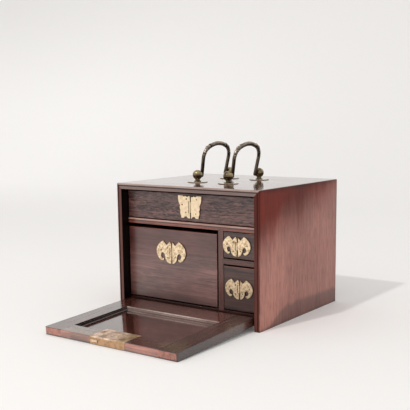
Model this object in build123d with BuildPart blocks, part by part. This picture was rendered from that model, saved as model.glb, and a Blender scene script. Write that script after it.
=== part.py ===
"""Small hardwood box for papers and keepsakes, with its fall front let down.

A mitred case holds four drawers behind a front that turns on two pins. Bat and butterfly pulls
hang on the drawers, and two bail handles stand on the top. Millimetres, X to the right, Y to the
back, Z up. The origin is on the table, under the middle of the box with its open front.
"""
import os
from math import asin, atan2, cos, hypot, radians, sin

from build123d import *

# Case boards
case_width = 200.0
case_depth = 178.0
case_height = 153.0
board = 6.8
back_thickness = 6.0
bottom_thickness = 7.0
bottom_lift = 8.9
shelf_thickness = 6.0
divider_thickness = 6.8
housing = 2.0
back_rebate = 3.0
arris = 1.2
bead_width = 2.6
quirk_radius = 0.6

# Openings for the drawers
setback = 11.8
top_opening = 35.1
upper_opening = 31.0
small_opening_width = 48.0

# Drawers
front_thickness = 8.0
drawer_side = 4.2
drawer_bottom = 2.4
drawer_back = 4.2
front_lap = 3.0
bottom_raise = 2.0
groove_depth = 1.8
side_drop = 2.2
front_arris = 0.7
slide_gap = 0.5
run_gap = 0.25
head_gap = 0.8
top_drop = 2.4
left_drop = 4.6
lower_drop = 2.0
left_slack = 2.2
foot_gap = 1.0
rear_gap = 1.5

# Fall front
door_reveal = 3.2
door_thickness = 8.8
door_inset = 0.2
door_head_gap = 2.0
door_arris = 1.0
door_corner = 2.0
pin_height = 9.8
pin_radius = 1.5
pin_in_side = 4.0
pin_in_door = 13.0
pin_end_gap = 0.5
stile_width = 24.0
top_rail_width = 20.0
bottom_rail_width = 34.4
panel_recess = 4.2
panel_sink = 0.8
panel_groove = 3.0
panel_tongue = 2.0
panel_play = 0.3
tenon_length = 9.0
tenon_thickness = 2.6
tenon_shoulder = 4.0
strip_width = 3.4
strip_height = 3.0
strip_bead_radius = 0.7
strip_lip = 0.6
mitre_gap = 0.06

# Lock
lock_width = 47.0
lock_depth = 26.0
lock_sheet = 1.2
lock_proud = 0.25
lock_bend = 2.0
lock_edge_margin = 1.0
lock_side_margin = 1.5
lock_case_depth = 15.0
lock_case_sink = 2.7
lock_case_wall = 0.8
lock_nail_inset = 4.0
bolt_width = 9.0
bolt_thickness = 3.4
bolt_proud = 1.0
bolt_nose_radius = 1.4
bolt_length = 11.5
bolt_tail = 4.0
bolt_tail_end = -3.0
bolt_travel = 4.0
bolt_play = 0.2
key_pin_radius = 1.3
key_pin_set = 7.5
key_pin_stop = 1.5
keyhole_radius = 1.7
keyhole_drop = 5.0
keyhole_slot = 1.8

# Drawer pulls
leaf_thickness = 1.0
leaf_lift = 0.15
knuckle_radius = 1.0
knuckle_gap = 0.3
seam_gap = 0.9
knuckle_lift = 0.1
spine_pin_radius = 0.5
nail_radius = 0.55
nail_head_radius = 0.95
nail_head = 0.4
nail_length = 5.0
pierce_radius = 0.6
bat_half_width = 17.8
bat_half_height = 11.3
big_bat_half_width = 21.0
big_bat_half_height = 13.3
butterfly_half_width = 16.6
butterfly_half_height = 13.0
top_pull_rise = 1.0
left_pull_rise = 16.0
upper_pull_shift = -5.7
lower_pull_shift = -3.0
lower_pull_rise = 0.6

# Bail handles
bail_spacing = 44.0
bail_span = 66.5
bail_wire = 2.15
bail_leg = 24.4
bail_shoulder = 27.0
bail_shoulder_height = 30.5
bail_height = 39.4
bail_shoulder_radius = 14.5
bail_crown_radius = 40.0
bail_heel = 1.2
bail_lean = 11.0
bail_collar = 2.6
bail_collar_length = 1.5
bail_pivot_radius = 1.2
bail_pivot_end_gap = 0.5
ball_radius = 5.8
ball_height = 8.6
post_neck_radius = 2.9
post_foot_radius = 4.3
post_foot_height = 1.3
post_shank_radius = 1.7
post_shank_length = 5.0
plate_radius = 12.0
plate_thickness = 0.9
plate_arris = 0.5

# Fits
pivot_gap = 0.05
seat_gap = 0.03
cut_over = 2.0

# Shares of a pull's half width and half height: each stretch of the wing's edge, from the top of the
# spine round to its foot, as the point that an arc passes (none on a straight stretch) and its end
bat_shares = (
    (None, (0.08, 0.94)),
    (None, (0.30, 0.60)),
    (None, (0.54, 0.98)),
    ((0.85, 0.66), (1.0, 0.30)),
    ((0.97, -0.34), (0.66, -0.80)),
    ((0.54, -0.74), (0.50, -0.57)),
    ((0.71, -0.30), (0.61, -0.07)),
    ((0.50, -0.14), (0.44, -0.34)),
    ((0.36, -0.74), (0.14, -1.0)),
    (None, (0.0, -1.0)),
)
butterfly_shares = (
    (None, (0.08, 1.0)),
    ((0.20, 0.90), (0.36, 1.0)),
    ((0.50, 0.92), (0.60, 1.0)),
    (None, (1.0, 1.0)),
    (None, (0.99, 0.62)),
    ((0.94, 0.38), (0.82, 0.12)),
    ((0.86, -0.10), (0.79, -0.30)),
    ((0.83, -0.52), (0.76, -0.76)),
    (None, (0.74, -0.97)),
    (None, (0.50, -0.97)),
    ((0.34, -0.82), (0.19, -0.97)),
    (None, (0.0, -1.0)),
)
bat_top_share = 0.80
butterfly_top_share = 0.97
bat_nail_shares = ((-0.24, 0.39), (-0.23, -0.51), (-0.70, 0.14))
butterfly_nail_shares = ((-0.27, 0.70), (-0.34, -0.47), (-0.64, 0.20))
bat_pierce_shares = ((0.78, 0.14), (0.28, -0.44))
butterfly_pierce_shares = ((0.60, 0.70), (0.52, -0.55))
bat_knuckle_shares = (0.38, 0.80)
butterfly_knuckle_shares = (0.48, 0.96)
collar_shares = (0.31, 0.36, 0.64, 0.69)

# Turns that lay a cylinder along X or along Y
along_x = (0, 90, 0)
along_y = (90, 0, 0)

# Places in the case that follow from the sizes
half_width = case_width / 2
inner_x = half_width - board
ceiling = case_height - board
floor_top = bottom_lift + bottom_thickness
rail_top = ceiling - top_opening
rail_bottom = rail_top - shelf_thickness
shelf_top = rail_bottom - upper_opening
shelf_bottom = shelf_top - shelf_thickness
divider_right = inner_x - small_opening_width
divider_left = divider_right - divider_thickness

# The front's reach from its pins, and the slope at which its free edge lies on the table
half_door = door_thickness / 2
door_width = 2 * (inner_x - door_reveal)
door_reach = ceiling - door_head_gap - pin_height
slope = (asin((pin_height - door_arris) / hypot(door_reach - door_arris, half_door - door_arris))
         - atan2(half_door - door_arris, door_reach - door_arris))
pin_set = door_inset + half_door
door_tip = (door_reach + lock_proud + bolt_proud) * cos(slope) - pin_set
front_y = (door_tip - case_depth) / 2
back_y = front_y + case_depth
back_inner = back_y - back_thickness
shelf_front = front_y + setback
drawer_rear = back_inner - rear_gap
pin_y = front_y + pin_set
front_plane = Plane.XZ.offset(-front_y)
door_plane = Plane(origin=(0, pin_y, pin_height), x_dir=(1, 0, 0), z_dir=(0, -sin(slope), cos(slope)))

# Places in the front, measured from its pins: Y towards the back, Z out of its inner face
free_edge = -door_reach
stile_inner = door_width / 2 - stile_width
recess_front = free_edge + top_rail_width
recess_rear = half_door - bottom_rail_width
panel_low = panel_sink - half_door
panel_high = half_door - panel_recess
tongue_low = (panel_low + panel_high - panel_tongue) / 2
tongue_high = tongue_low + panel_tongue

# Places in the lock, in the same frame
lock_face = half_door + lock_proud
lock_under = lock_face - lock_sheet
lock_front = free_edge - lock_proud
lock_case_front = lock_front + lock_sheet
lock_case_rear = lock_case_front + lock_case_depth
bolt_left = lock_side_margin - lock_width / 2
bolt_right = bolt_left + bolt_width
lock_case_half = bolt_play + lock_case_wall - bolt_left
bolt_half = bolt_thickness / 2
bolt_nose = lock_front - bolt_proud
bolt_rear = bolt_nose + bolt_length
key_y = free_edge + key_pin_set
lock_nail_y = (lock_case_rear + recess_front) / 2
lock_nail_places = [(sign * (lock_width / 2 - lock_nail_inset), lock_nail_y) for sign in (-1, 1)]

# Places of the handle posts, with the turn that points each post's pivot hole at the other post
bail_middle = (front_y + back_y) / 2
post_places = [(x, bail_middle + y, turn) for x in (-bail_spacing / 2, bail_spacing / 2)
               for y, turn in ((-bail_span / 2, 0), (bail_span / 2, 180))]

os.makedirs("parts", exist_ok=True)


def block(low, high, mode=Mode.ADD):
    """Adds a block between two opposite corners, in the frame of the part being built."""
    with Locations(tuple((a + b) / 2 for a, b in zip(low, high))):
        Box(*(abs(b - a) for a, b in zip(low, high)), mode=mode)


def rod(middle, radius, length, turn=(0, 0, 0), mode=Mode.ADD):
    """Adds a round rod about its middle, in the frame of the part being built."""
    with Locations(middle):
        Cylinder(radius, length, rotation=turn, mode=mode)


def finish(piece, name):
    """Names a finished piece and writes it."""
    piece.part.label = name
    export_step(piece.part, f"parts/{name}.step")


# Case: the mitred boards are trimmed by one outline with eased arrises
with BuildPart() as case_outline:
    block((-half_width, front_y, 0), (half_width, back_y, case_height))
    uprights, rim = case_outline.edges().group_by(Axis.Z)[1:]
    fillet(uprights + rim, arris)


def mitred_board(outline):
    """Adds a board of the case, the full depth of the box, from its outline seen from the front."""
    with BuildSketch(front_plane) as face:
        with BuildLine():
            Polyline(*outline, close=True)
        make_face()
    extrude(face.sketch, amount=case_depth, dir=(0, 1, 0))
    add(case_outline.part, mode=Mode.INTERSECT)


with BuildPart() as case_top:
    mitred_board([(-half_width, case_height), (half_width, case_height), (inner_x, ceiling),
                  (-inner_x, ceiling)])
    # Bead along the front edge
    rod((0, front_y, case_height - bead_width), quirk_radius, case_width + cut_over, along_x, Mode.SUBTRACT)
    # Rebate for the back board
    block((-inner_x - back_rebate, back_inner, ceiling - cut_over),
          (inner_x + back_rebate, back_y + cut_over, ceiling + back_rebate), Mode.SUBTRACT)
    # Mortise that takes the lock's bolt when the front is shut
    mortise_top = ceiling - door_head_gap + lock_proud + bolt_proud + bolt_travel + bolt_play
    block((bolt_left - bolt_play, pin_y - bolt_half - bolt_play, ceiling - cut_over),
          (bolt_right + bolt_play, pin_y + bolt_half + bolt_play, mortise_top), Mode.SUBTRACT)
    # Holes for the handle posts
    for x, y, turn in post_places:
        rod((x, y, case_height), post_shank_radius + seat_gap, 2 * post_shank_length, mode=Mode.SUBTRACT)
finish(case_top, "case_top")


def case_side(sign, housings, name):
    """Makes a side board, mitred to the top, housed for the shelves and drilled for the front's pin."""
    outer = sign * half_width
    inner = sign * inner_x
    with BuildPart() as side:
        mitred_board([(outer, 0), (outer, case_height), (inner, ceiling), (inner, 0)])
        rod((outer - sign * bead_width, front_y, case_height / 2), quirk_radius, case_height + cut_over,
            mode=Mode.SUBTRACT)
        for low, high in housings:
            block((inner - sign * cut_over, shelf_front, low), (inner + sign * housing, back_inner, high),
                  Mode.SUBTRACT)
        block((inner - sign * cut_over, back_inner, -cut_over),
              (inner + sign * back_rebate, back_y + cut_over, ceiling + back_rebate), Mode.SUBTRACT)
        rod((inner, pin_y, pin_height), pin_radius + seat_gap, 2 * pin_in_side, along_x, Mode.SUBTRACT)
    finish(side, name)


bottom_housing = (bottom_lift, floor_top)
rail_housing = (rail_bottom, rail_top)
shelf_housing = (shelf_bottom, shelf_top)
case_side(-1, [bottom_housing, rail_housing], "case_left_side")
case_side(1, [bottom_housing, rail_housing, shelf_housing], "case_right_side")

with BuildPart() as case_back:
    block((-inner_x - back_rebate, back_inner, 0), (inner_x + back_rebate, back_y, ceiling + back_rebate))
finish(case_back, "case_back")

with BuildPart() as case_bottom:
    block((-inner_x - housing, shelf_front, bottom_lift), (inner_x + housing, back_inner, floor_top))
    block((divider_left, shelf_front - cut_over, floor_top - housing),
          (divider_right, back_inner + cut_over, floor_top + cut_over), Mode.SUBTRACT)
finish(case_bottom, "case_bottom")

with BuildPart() as drawer_rail:
    block((-inner_x - housing, shelf_front, rail_bottom), (inner_x + housing, back_inner, rail_top))
    block((divider_left, shelf_front - cut_over, rail_bottom - cut_over),
          (divider_right, back_inner + cut_over, rail_bottom + housing), Mode.SUBTRACT)
finish(drawer_rail, "drawer_rail")

with BuildPart() as drawer_divider:
    block((divider_left, shelf_front, floor_top - housing),
          (divider_right, back_inner, rail_bottom + housing))
    block((divider_right - housing, shelf_front - cut_over, shelf_bottom),
          (divider_right + cut_over, back_inner + cut_over, shelf_top), Mode.SUBTRACT)
finish(drawer_divider, "drawer_divider")

with BuildPart() as small_drawer_shelf:
    block((divider_right - housing, shelf_front, shelf_bottom), (inner_x + housing, back_inner, shelf_top))
finish(small_drawer_shelf, "small_drawer_shelf")


# Handles: round plates and ball posts on the top, each pair of posts carrying a bail
with BuildPart() as one_plate:
    Cylinder(plate_radius, plate_thickness, align=(Align.CENTER, Align.CENTER, Align.MIN))
    chamfer(one_plate.edges().group_by(Axis.Z)[-1], plate_arris)
    rod((0, 0, 0), post_shank_radius + seat_gap, plate_thickness + plate_radius, mode=Mode.SUBTRACT)

with BuildPart() as handle_plates:
    with Locations(*((x, y, case_height) for x, y, turn in post_places)):
        add(one_plate.part)
finish(handle_plates, "handle_plates")

with BuildPart() as one_post:
    with BuildSketch(Plane.XZ):
        with BuildLine():
            Polyline((0, ball_height), (0, -post_shank_length), (post_shank_radius, -post_shank_length),
                     (post_shank_radius, plate_thickness), (post_foot_radius, plate_thickness),
                     (post_foot_radius, plate_thickness + post_foot_height / 2),
                     (post_neck_radius, plate_thickness + post_foot_height), (post_neck_radius, ball_height),
                     close=True)
        make_face()
    revolve(axis=Axis.Z)
    with Locations((0, 0, ball_height)):
        Sphere(ball_radius)
    rod((0, ball_radius, ball_height), bail_pivot_radius + pivot_gap, 2 * ball_radius, along_y, Mode.SUBTRACT)

with BuildPart() as handle_posts:
    with Locations(*(Location((x, y, case_height), (0, 0, turn)) for x, y, turn in post_places)):
        add(one_post.part)
finish(handle_posts, "handle_posts")


def bail(x, name):
    """Makes a bail that leans a little to the right, its pivots reaching out into the ball posts."""
    lean = radians(bail_lean)
    plane = Plane(origin=(x, bail_middle, case_height + ball_height), x_dir=(0, 1, 0),
                  z_dir=(cos(lean), 0, -sin(lean)))
    pivot_end = bail_span / 2 - bail_pivot_end_gap
    with BuildPart(plane) as handle:
        with BuildLine(plane):
            arch = FilletPolyline((-bail_leg, -bail_heel), (-bail_shoulder, bail_shoulder_height),
                                  (0, bail_height), (bail_shoulder, bail_shoulder_height),
                                  (bail_leg, -bail_heel),
                                  radius=[bail_shoulder_radius, bail_crown_radius, bail_shoulder_radius])
        with BuildSketch(Plane(origin=arch @ 0, z_dir=arch % 0)):
            Circle(bail_wire)
        sweep(path=arch)
        with Locations((-bail_leg, -bail_heel), (bail_leg, -bail_heel)):
            Sphere(bail_wire)
        for sign in (-1, 1):
            rod((sign * (bail_leg + pivot_end) / 2, 0, 0), bail_pivot_radius, pivot_end - bail_leg, along_x)
        # Turned collars on both sides of the grip
        for share in collar_shares:
            with BuildSketch(Plane(origin=arch @ share, z_dir=arch % share)):
                Circle(bail_collar)
            extrude(amount=bail_collar_length / 2, both=True)
    finish(handle, name)


bail(-bail_spacing / 2, "left_bail")
bail(bail_spacing / 2, "right_bail")


# Fall front, let down: a tenoned frame with a panel and planted beads
def door_slab(low_x, high_x):
    """Adds a length of the front's section: round about the pins and eased at the free edge."""
    side_plane = Plane(origin=door_plane.from_local_coords((low_x, 0, 0)), x_dir=door_plane.y_dir,
                       z_dir=(1, 0, 0))
    with BuildSketch(side_plane) as section:
        with BuildLine():
            Polyline((0, half_door), (free_edge, half_door), (free_edge, -half_door), (0, -half_door))
            ThreePointArc((0, -half_door), (half_door, 0), (0, half_door))
        make_face()
        fillet(section.vertices().group_by(Axis.X)[0], door_arris)
    extrude(section.sketch, amount=high_x - low_x, dir=(1, 0, 0))


def door_stile(sign, name):
    """Makes a stile, mortised for both rails, grooved for the panel and drilled for its pin."""
    outer = sign * door_width / 2
    inner = sign * stile_inner
    with BuildPart(door_plane) as stile:
        door_slab(min(outer, inner), max(outer, inner))
        # The outer corner of the free edge is rounded in plan
        with BuildSketch(door_plane) as plan:
            with BuildLine():
                Polyline((inner, free_edge), (outer, free_edge), (outer, half_door), (inner, half_door),
                         close=True)
            make_face()
            fillet(plan.vertices().sort_by_distance((outer, free_edge))[0], door_corner)
        extrude(amount=door_thickness, both=True, mode=Mode.INTERSECT)
        for low, high in tenon_spans:
            block((inner - sign * cut_over, low, -tenon_thickness / 2),
                  (inner + sign * tenon_length, high, tenon_thickness / 2), Mode.SUBTRACT)
        block((inner - sign * cut_over, recess_front - panel_groove, tongue_low),
              (inner + sign * panel_groove, recess_rear + panel_groove, tongue_high), Mode.SUBTRACT)
        rod((outer, 0, 0), pin_radius + pivot_gap, 2 * pin_in_door, along_x, Mode.SUBTRACT)
    finish(stile, name)


def door_rail(low_y, high_y, tenon_span):
    """Adds a rail between the stiles, with its tenons and the groove for the panel."""
    door_slab(-stile_inner, stile_inner)
    block((-stile_inner, low_y, -door_thickness), (stile_inner, high_y, door_thickness), Mode.INTERSECT)
    block((-stile_inner - tenon_length, tenon_span[0], -tenon_thickness / 2),
          (stile_inner + tenon_length, tenon_span[1], tenon_thickness / 2))
    block((-door_width, recess_front - panel_groove, tongue_low),
          (door_width, recess_rear + panel_groove, tongue_high), Mode.SUBTRACT)


tenon_spans = [(free_edge + tenon_shoulder, recess_front - tenon_shoulder),
               (recess_rear + tenon_shoulder, -tenon_shoulder)]
door_stile(-1, "door_left_stile")
door_stile(1, "door_right_stile")

with BuildPart(door_plane) as door_bottom_rail:
    door_rail(recess_rear, door_thickness, tenon_spans[1])
finish(door_bottom_rail, "door_bottom_rail")

with BuildPart(door_plane) as door_top_rail:
    door_rail(free_edge - cut_over, recess_front, tenon_spans[0])
    # The lock plate is let into the inner face and the free edge
    block((-lock_width / 2, free_edge - cut_over, lock_under),
          (lock_width / 2, recess_front + cut_over, door_thickness), Mode.SUBTRACT)
    block((-lock_width / 2, free_edge - cut_over, lock_edge_margin - half_door),
          (lock_width / 2, lock_case_front, door_thickness), Mode.SUBTRACT)
    # Mortise for the lock case, and the keyhole through to the outer face
    block((-lock_case_half, lock_case_front - cut_over, -lock_case_sink),
          (lock_case_half, lock_case_rear, door_thickness), Mode.SUBTRACT)
    rod((0, key_y, 0), keyhole_radius, 2 * door_thickness, mode=Mode.SUBTRACT)
    block((-keyhole_slot / 2, key_y, -door_thickness), (keyhole_slot / 2, key_y + keyhole_drop, 0),
          Mode.SUBTRACT)
    for x, y in lock_nail_places:
        rod((x, y, lock_face), nail_radius + seat_gap, 2 * nail_length, mode=Mode.SUBTRACT)
finish(door_top_rail, "door_top_rail")

with BuildPart(door_plane) as door_panel:
    block((-stile_inner, recess_front, panel_low), (stile_inner, recess_rear, panel_high))
    tongue = panel_groove - panel_play
    block((-stile_inner - tongue, recess_front - tongue, tongue_low),
          (stile_inner + tongue, recess_rear + tongue, tongue_high))
finish(door_panel, "door_panel")


def bead_strip(corner, along, inward, length):
    """Makes one mitred bead strip on the panel: a round bead, a quirk and a hollow down to the panel."""
    plane = Plane(origin=door_plane.from_local_coords((*corner, panel_high)),
                  x_dir=along, z_dir=door_plane.z_dir)
    bead = 2 * strip_bead_radius
    with BuildPart() as strip:
        with BuildSketch(Plane(origin=plane.origin, x_dir=inward, z_dir=along)):
            with BuildLine():
                Polyline((bead, strip_height - bead), (bead, strip_height - strip_bead_radius))
                ThreePointArc((bead, strip_height - strip_bead_radius), (strip_bead_radius, strip_height),
                              (0, strip_height - strip_bead_radius))
                Polyline((0, strip_height - strip_bead_radius), (0, 0), (strip_width, 0),
                         (strip_width, strip_lip))
                RadiusArc((strip_width, strip_lip), (bead, strip_height - bead), strip_width)
            make_face()
        extrude(amount=length, dir=along)
        with BuildSketch(plane):
            with BuildLine():
                Polyline((mitre_gap, 0), (length - mitre_gap, 0),
                         (length - strip_width - mitre_gap, strip_width),
                         (strip_width + mitre_gap, strip_width), close=True)
            make_face()
        extrude(amount=strip_height, dir=door_plane.z_dir, mode=Mode.INTERSECT)
    return strip.part


recess_length = recess_rear - recess_front
across = Vector(1, 0, 0)
backwards = door_plane.y_dir
with BuildPart() as door_panel_beads:
    add(bead_strip((-stile_inner, recess_front), across, backwards, 2 * stile_inner))
    add(bead_strip((stile_inner, recess_front), backwards, -across, recess_length))
    add(bead_strip((stile_inner, recess_rear), -across, -backwards, 2 * stile_inner))
    add(bead_strip((-stile_inner, recess_rear), -backwards, across, recess_length))
finish(door_panel_beads, "door_panel_beads")

with BuildPart() as door_pins:
    for sign in (-1, 1):
        low = sign * (door_width / 2 - pin_in_door + pin_end_gap)
        high = sign * (inner_x + pin_in_side - pin_end_gap)
        rod(((low + high) / 2, pin_y, pin_height), pin_radius, abs(high - low), along_x)
finish(door_pins, "door_pins")


# Lock, in the middle of the free edge
with BuildPart(door_plane) as lock_plate:
    side_plane = Plane(origin=door_plane.from_local_coords((-lock_width / 2, 0, 0)), x_dir=door_plane.y_dir,
                       z_dir=(1, 0, 0))
    with BuildSketch(side_plane) as section:
        with BuildLine():
            Polyline((lock_front, lock_edge_margin - half_door), (lock_front, lock_face),
                     (lock_front + lock_depth, lock_face), (lock_front + lock_depth, lock_under),
                     (lock_case_front, lock_under), (lock_case_front, lock_edge_margin - half_door),
                     close=True)
        make_face()
        fillet(section.vertices().sort_by_distance((lock_front, lock_face))[0], lock_bend)
    extrude(amount=lock_width, dir=(1, 0, 0))
    block((bolt_left - bolt_play, lock_front - cut_over, -bolt_half - bolt_play),
          (bolt_right + bolt_play, lock_case_front + cut_over, bolt_half + bolt_play), Mode.SUBTRACT)
    rod((0, key_y, lock_face), key_pin_radius + seat_gap, door_thickness, mode=Mode.SUBTRACT)
    for x, y in lock_nail_places:
        rod((x, y, lock_face), nail_radius + seat_gap, 2 * nail_length, mode=Mode.SUBTRACT)
finish(lock_plate, "lock_plate")

with BuildPart(door_plane) as lock_case:
    block((-lock_case_half, lock_case_front, -lock_case_sink), (lock_case_half, lock_case_rear, lock_under))
    inside = lock_case_half - lock_case_wall
    block((-inside, lock_case_front + lock_case_wall, lock_case_wall - lock_case_sink),
          (inside, lock_case_rear - lock_case_wall, door_thickness), Mode.SUBTRACT)
    block((bolt_left - bolt_play, lock_case_front - cut_over, -bolt_half - bolt_play),
          (bolt_right + bolt_play, lock_case_front + cut_over, bolt_half + bolt_play), Mode.SUBTRACT)
    rod((0, key_y, 0), keyhole_radius, 2 * lock_case_sink, mode=Mode.SUBTRACT)
    block((-keyhole_slot / 2, key_y, -door_thickness), (keyhole_slot / 2, key_y + keyhole_drop, 0),
          Mode.SUBTRACT)
finish(lock_case, "lock_case")

with BuildPart(door_plane) as lock_key_pin:
    low = key_pin_stop - half_door
    rod((0, key_y, (low + lock_face) / 2), key_pin_radius, lock_face - low)
finish(lock_key_pin, "lock_key_pin")

with BuildPart(door_plane) as lock_bolt:
    block((bolt_left, bolt_nose, -bolt_half), (bolt_right, bolt_rear, bolt_half))
    nose = lock_bolt.faces().sort_by(Axis.Y)[0]
    fillet(nose.edges().filter_by(Axis.X), bolt_nose_radius)
    block((bolt_left, bolt_rear - bolt_tail, -bolt_half), (bolt_tail_end, bolt_rear, bolt_half))
finish(lock_bolt, "lock_bolt")


def nail(x, y, z):
    """Adds a round-headed nail whose head lies on a face at height z of the frame being built."""
    rod((x, y, z - nail_length / 2), nail_radius, nail_length)
    rod((x, y, z + nail_head / 2), nail_head_radius, nail_head)


with BuildPart(door_plane) as lock_nails:
    for x, y in lock_nail_places:
        nail(x, y, lock_face)
finish(lock_nails, "lock_nails")


# Drawers, each with its pull
def drawer(name, low, high, nails):
    """Makes a drawer between two corners of its front, drilled for the nails of its pull."""
    low_x, low_z = low
    high_x, high_z = high
    front_back = shelf_front + front_thickness
    lap = shelf_front + front_lap
    foot = low_z + foot_gap
    bottom_z = low_z + bottom_raise
    side_top = high_z - side_drop
    inner_left = low_x + drawer_side
    inner_right = high_x - drawer_side
    groove = ((inner_left - groove_depth, front_back - groove_depth, bottom_z),
              (inner_right + groove_depth, drawer_rear + cut_over, bottom_z + drawer_bottom))

    with BuildPart() as front:
        block((low_x, shelf_front, foot), (high_x, front_back, high_z))
        fillet(front.faces().sort_by(Axis.Y)[0].edges(), front_arris)
        for outer, inner in ((low_x, inner_left), (high_x, inner_right)):
            block((outer, lap, low_z - cut_over), (inner, front_back + cut_over, side_top), Mode.SUBTRACT)
        block(*groove, Mode.SUBTRACT)
        for x, z in nails:
            rod((x, shelf_front, z), nail_radius + seat_gap, 2 * nail_length, along_y, Mode.SUBTRACT)
    finish(front, f"{name}_front")

    for side, outer, inner in (("left", low_x, inner_left), ("right", high_x, inner_right)):
        with BuildPart() as board_side:
            block((outer, lap, low_z), (inner, drawer_rear, side_top))
            block(*groove, Mode.SUBTRACT)
        finish(board_side, f"{name}_{side}_side")

    with BuildPart() as back:
        block((inner_left, drawer_rear - drawer_back, bottom_z + drawer_bottom),
              (inner_right, drawer_rear, side_top))
    finish(back, f"{name}_back")

    with BuildPart() as bottom:
        block(groove[0], (groove[1][0], drawer_rear, groove[1][2]))
    finish(bottom, f"{name}_bottom")


def wing(plane, sign, lift, top_share, shares, half_wide, half_high):
    """Adds one flat wing of a pull, to the right of its spine or mirrored to the left."""
    def place(share_pair):
        return sign * share_pair[0] * half_wide, share_pair[1] * half_high

    with BuildSketch(plane.offset(lift - knuckle_radius - knuckle_lift)) as face:
        with BuildLine():
            last = place((0, top_share))
            Line(place((0, -1)), last)
            for via, end in shares:
                if via is None:
                    Line(last, place(end))
                else:
                    ThreePointArc(last, place(via), place(end))
                last = place(end)
        make_face()
    extrude(face.sketch, amount=leaf_thickness, dir=plane.z_dir)


def pull(name, x, z, outline, half_wide, half_high):
    """Makes a two-winged pull: the left wing is nailed to the drawer, the right one swings on the spine."""
    top_share, shares, nail_shares, pierce_shares, knuckle_shares = outline
    plane = Plane(origin=(x, shelf_front - knuckle_radius - knuckle_lift, z), x_dir=(1, 0, 0),
                  z_dir=(0, -1, 0))
    clear = knuckle_radius + seam_gap
    middle, span = (share * half_high for share in knuckle_shares)
    seat = middle + knuckle_gap
    face = leaf_thickness - knuckle_radius - knuckle_lift
    nail_places = [(across_share * half_wide, up_share * half_high) for across_share, up_share in nail_shares]

    with BuildPart(plane) as fixed:
        wing(plane, -1, 0, top_share, shares, half_wide, half_high)
        block((-clear, -seat, -half_wide), (half_wide, seat, half_wide), Mode.SUBTRACT)
        for sign in (-1, 1):
            rod((0, sign * (seat + span) / 2, 0), knuckle_radius, span - seat, along_y)
        rod((0, 0, 0), spine_pin_radius + seat_gap, 2 * half_high + cut_over, along_y, Mode.SUBTRACT)
        for u, v in nail_places:
            rod((u, v, 0), nail_radius + seat_gap, 2 * nail_length, mode=Mode.SUBTRACT)
    finish(fixed, f"{name}_pull_plate")

    with BuildPart(plane) as swinging:
        wing(plane, 1, leaf_lift, top_share, shares, half_wide, half_high)
        for sign in (-1, 1):
            block((-clear, sign * middle, -half_wide), (clear, sign * 2 * half_high, half_wide),
                  Mode.SUBTRACT)
        rod((0, 0, 0), knuckle_radius, 2 * middle, along_y)
        rod((0, 0, 0), spine_pin_radius + pivot_gap, 2 * half_high + cut_over, along_y, Mode.SUBTRACT)
        for across_share, up_share in pierce_shares:
            rod((across_share * half_wide, up_share * half_high, 0), pierce_radius, 2 * half_high,
                mode=Mode.SUBTRACT)
    finish(swinging, f"{name}_pull_wing")

    with BuildPart(plane) as pin:
        rod((0, 0, 0), spine_pin_radius, 2 * span, along_y)
    finish(pin, f"{name}_pull_pin")

    with BuildPart(plane) as nails:
        for u, v in nail_places:
            nail(u, v, face)
    finish(nails, f"{name}_pull_nails")
    return [(x + u, z + v) for u, v in nail_places]


bat = (bat_top_share, bat_shares, bat_nail_shares, bat_pierce_shares, bat_knuckle_shares)
butterfly = (butterfly_top_share, butterfly_shares, butterfly_nail_shares, butterfly_pierce_shares,
             butterfly_knuckle_shares)
left_edge = slide_gap - inner_x
right_edge = inner_x - slide_gap
drawers = [
    ("top_drawer", (left_edge, rail_top + run_gap), (right_edge, ceiling - top_drop),
     0, top_pull_rise, butterfly, butterfly_half_width, butterfly_half_height),
    ("left_drawer", (left_edge, floor_top + run_gap), (divider_left - left_slack, rail_bottom - left_drop),
     0, left_pull_rise, bat, big_bat_half_width, big_bat_half_height),
    ("upper_drawer", (divider_right + slide_gap, shelf_top + run_gap), (right_edge, rail_bottom - head_gap),
     upper_pull_shift, 0, bat, bat_half_width, bat_half_height),
    ("lower_drawer", (divider_right + slide_gap, floor_top + run_gap),
     (right_edge, shelf_bottom - lower_drop),
     lower_pull_shift, lower_pull_rise, bat, bat_half_width, bat_half_height),
]
for name, low, high, shift, rise, outline, half_wide, half_high in drawers:
    pull_x = (low[0] + high[0]) / 2 + shift
    pull_z = (low[1] + high[1]) / 2 + rise
    drawer(name, low, high, pull(name, pull_x, pull_z, outline, half_wide, half_high))
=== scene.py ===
"""Looks of the fall-front box around its CAD frame.

Lacquered hardwood, worn brass and dark bronze, with a pale table, soft light and the photo's camera.
"""
import math
from types import SimpleNamespace

import bpy
from mathutils import Matrix, Vector


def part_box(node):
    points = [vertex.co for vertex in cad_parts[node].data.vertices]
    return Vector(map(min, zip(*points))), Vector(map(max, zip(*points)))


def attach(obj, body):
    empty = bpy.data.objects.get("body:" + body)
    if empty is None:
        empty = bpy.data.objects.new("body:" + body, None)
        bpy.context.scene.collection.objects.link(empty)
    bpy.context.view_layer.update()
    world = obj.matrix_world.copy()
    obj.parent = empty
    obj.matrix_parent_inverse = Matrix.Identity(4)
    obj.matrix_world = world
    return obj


X_AXIS, Y_AXIS, Z_AXIS = 0, 1, 2

# Faces, by the axis and sign of the direction they look in
LEFT_FACE = (X_AXIS, -1)
RIGHT_FACE = (X_AXIS, 1)
FRONT_FACE = (Y_AXIS, -1)
LOWER_FACE = (Z_AXIS, -1)
UPPER_FACE = (Z_AXIS, 1)

# Camera, placed from the middle of the case's front edge on the table, in metres and degrees
CAMERA_OFFSET = (0.5384, -0.6914, 0.2290)
CAMERA_AZIMUTH = 34.60
CAMERA_ELEVATION = 9.13
CAMERA_ROLL = -0.42
CAMERA_LENS_MM = 69.12
CAMERA_SENSOR_MM = 36.0
CAMERA_SHIFT = (-0.0593, 0.0937)

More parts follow.
